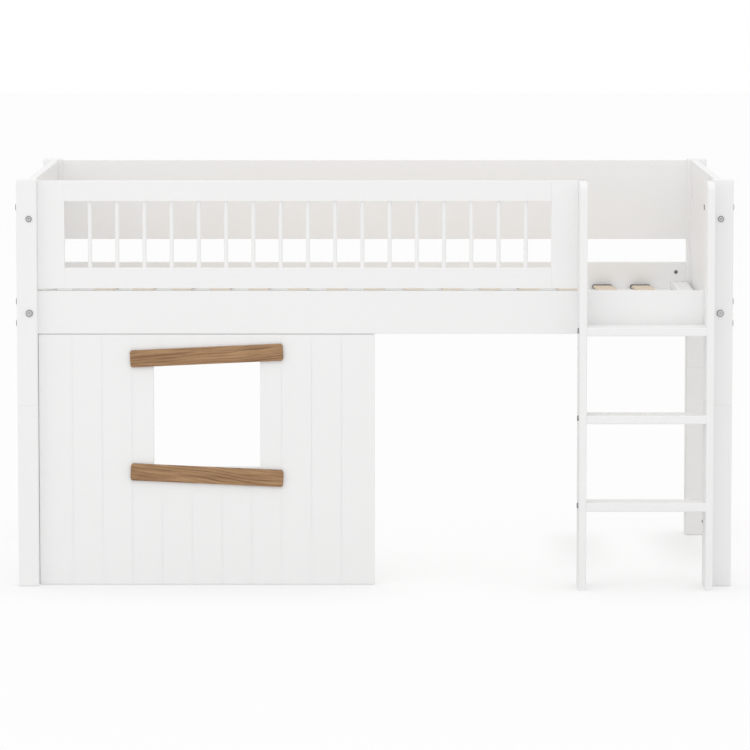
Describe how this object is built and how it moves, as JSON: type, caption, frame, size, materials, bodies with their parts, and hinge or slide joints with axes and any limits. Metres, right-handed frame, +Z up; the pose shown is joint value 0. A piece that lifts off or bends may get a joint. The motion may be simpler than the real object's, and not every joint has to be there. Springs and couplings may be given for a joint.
{
  "type": "cabin bed",
  "caption": "Raised single bed of white lacquered wood with a spindle guard, a straight ladder and a play panel with a window below it.",
  "frame": {"origin": "on the floor, under the middle of the bounding box of the whole bed", "axes": "+X along the bed towards the ladder's end, +Y from the front with the ladder to the back, +Z up"},
  "size_m": [2.109, 1.0816, 1.2],
  "materials": {
    "white_lacquer": "white satin lacquer on solid boards",
    "plain_wood": "natural pale laminated wood",
    "oak": "oiled oak with its grain along the length",
    "black_plastic": "matt black moulded plastic",
    "steel": "dull zinc-grey steel",
    "painted_steel": "white powder coat"
  },
  "bodies": {
    "root": {"back_panel": "white_lacquer", "back_rail": "white_lacquer", "barrel_nuts": "steel", "batten_lower": "oak", "batten_upper": "oak", "end_bar_left": "white_lacquer", "end_bar_right": "white_lacquer", "end_bolts": "steel", "end_panel_left": "white_lacquer", "end_panel_right": "white_lacquer", "front_rail": "white_lacquer", "guard_bottom_rail": "white_lacquer", "guard_ladder_bolt": "steel", "guard_spindles": "white_lacquer", "guard_stile_left": "white_lacquer", "guard_stile_right": "white_lacquer", "guard_top_rail": "white_lacquer", "ladder_foot_screw": "steel", "ladder_post_bolt": "steel", "ladder_post_nut": "steel", "ladder_upright_left": "white_lacquer", "ladder_upright_right": "white_lacquer", "ledge_back": "white_lacquer", "ledge_front": "white_lacquer", "leg_back_left": "white_lacquer", "leg_back_right": "white_lacquer", "leg_front_left": "white_lacquer", "leg_front_right": "white_lacquer", "long_screws": "steel", "panel_plates": "painted_steel", "play_panel": "white_lacquer", "post_back_left": "white_lacquer", "post_back_right": "white_lacquer", "post_front_left": "white_lacquer", "post_front_right": "white_lacquer", "post_studs": "steel", "short_screws": "steel", "side_bolts": "steel", "slat_1": "plain_wood", "slat_10": "plain_wood", "slat_11": "plain_wood", "slat_12": "plain_wood", "slat_13": "plain_wood", "slat_14": "plain_wood", "slat_15": "plain_wood", "slat_2": "plain_wood", "slat_3": "plain_wood", "slat_4": "plain_wood", "slat_5": "plain_wood", "slat_6": "plain_wood", "slat_7": "plain_wood", "slat_8": "plain_wood", "slat_9": "plain_wood", "slat_caps": "black_plastic", "tread_1": "white_lacquer", "tread_2": "white_lacquer", "tread_3": "white_lacquer", "tread_bolts": "steel"}
  },
  "joints": []
}
